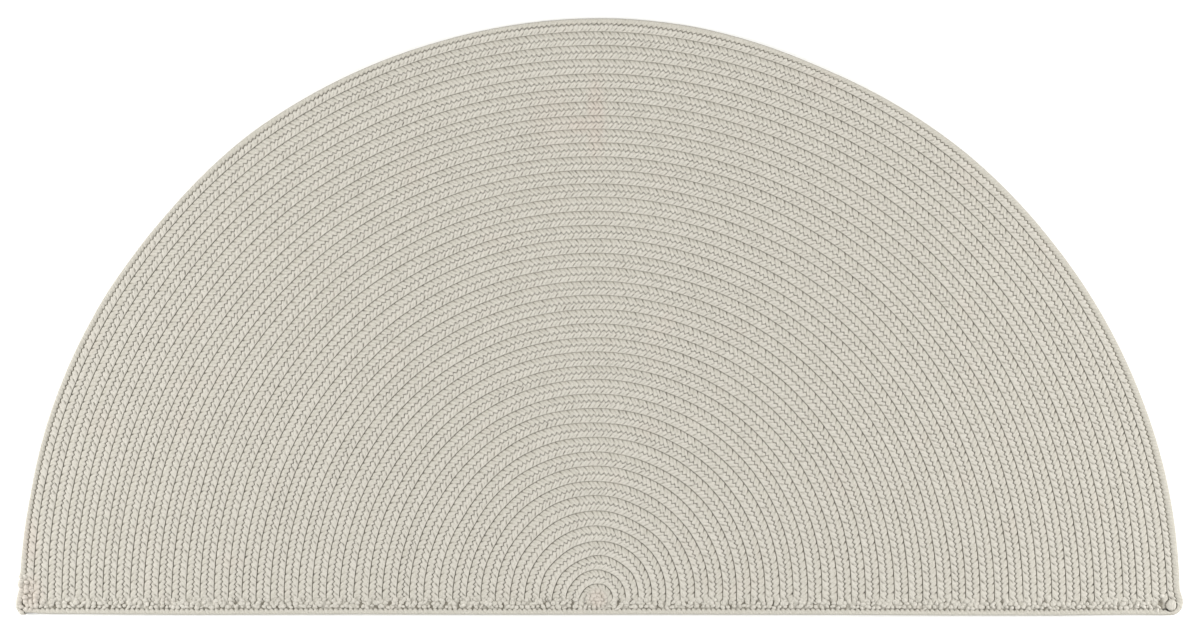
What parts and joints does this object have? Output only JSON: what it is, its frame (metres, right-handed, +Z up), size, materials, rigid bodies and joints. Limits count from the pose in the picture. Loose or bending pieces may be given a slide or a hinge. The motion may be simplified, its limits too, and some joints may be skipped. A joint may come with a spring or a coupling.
{
  "type": "half-round braided rug",
  "caption": "Flat half-round floor rug of thick yarn braid coiled in concentric half turns, cut straight across and edged with a slim yarn strip.",
  "frame": {"origin": "on the floor, under the middle of the rug's box", "axes": "+Z up out of the rug's face, +X along the straight side, +Y from the straight side to the top of the arc"},
  "size_m": [1.2188, 0.6264, 0.009],
  "materials": {
    "braid_yarn": "matt heathered spun yarn, thick braid",
    "edge_yarn": "matt heathered spun yarn, slim strip"
  },
  "bodies": {
    "root": {"rug_body": "braid_yarn", "edge_strip": "edge_yarn"}
  },
  "joints": []
}
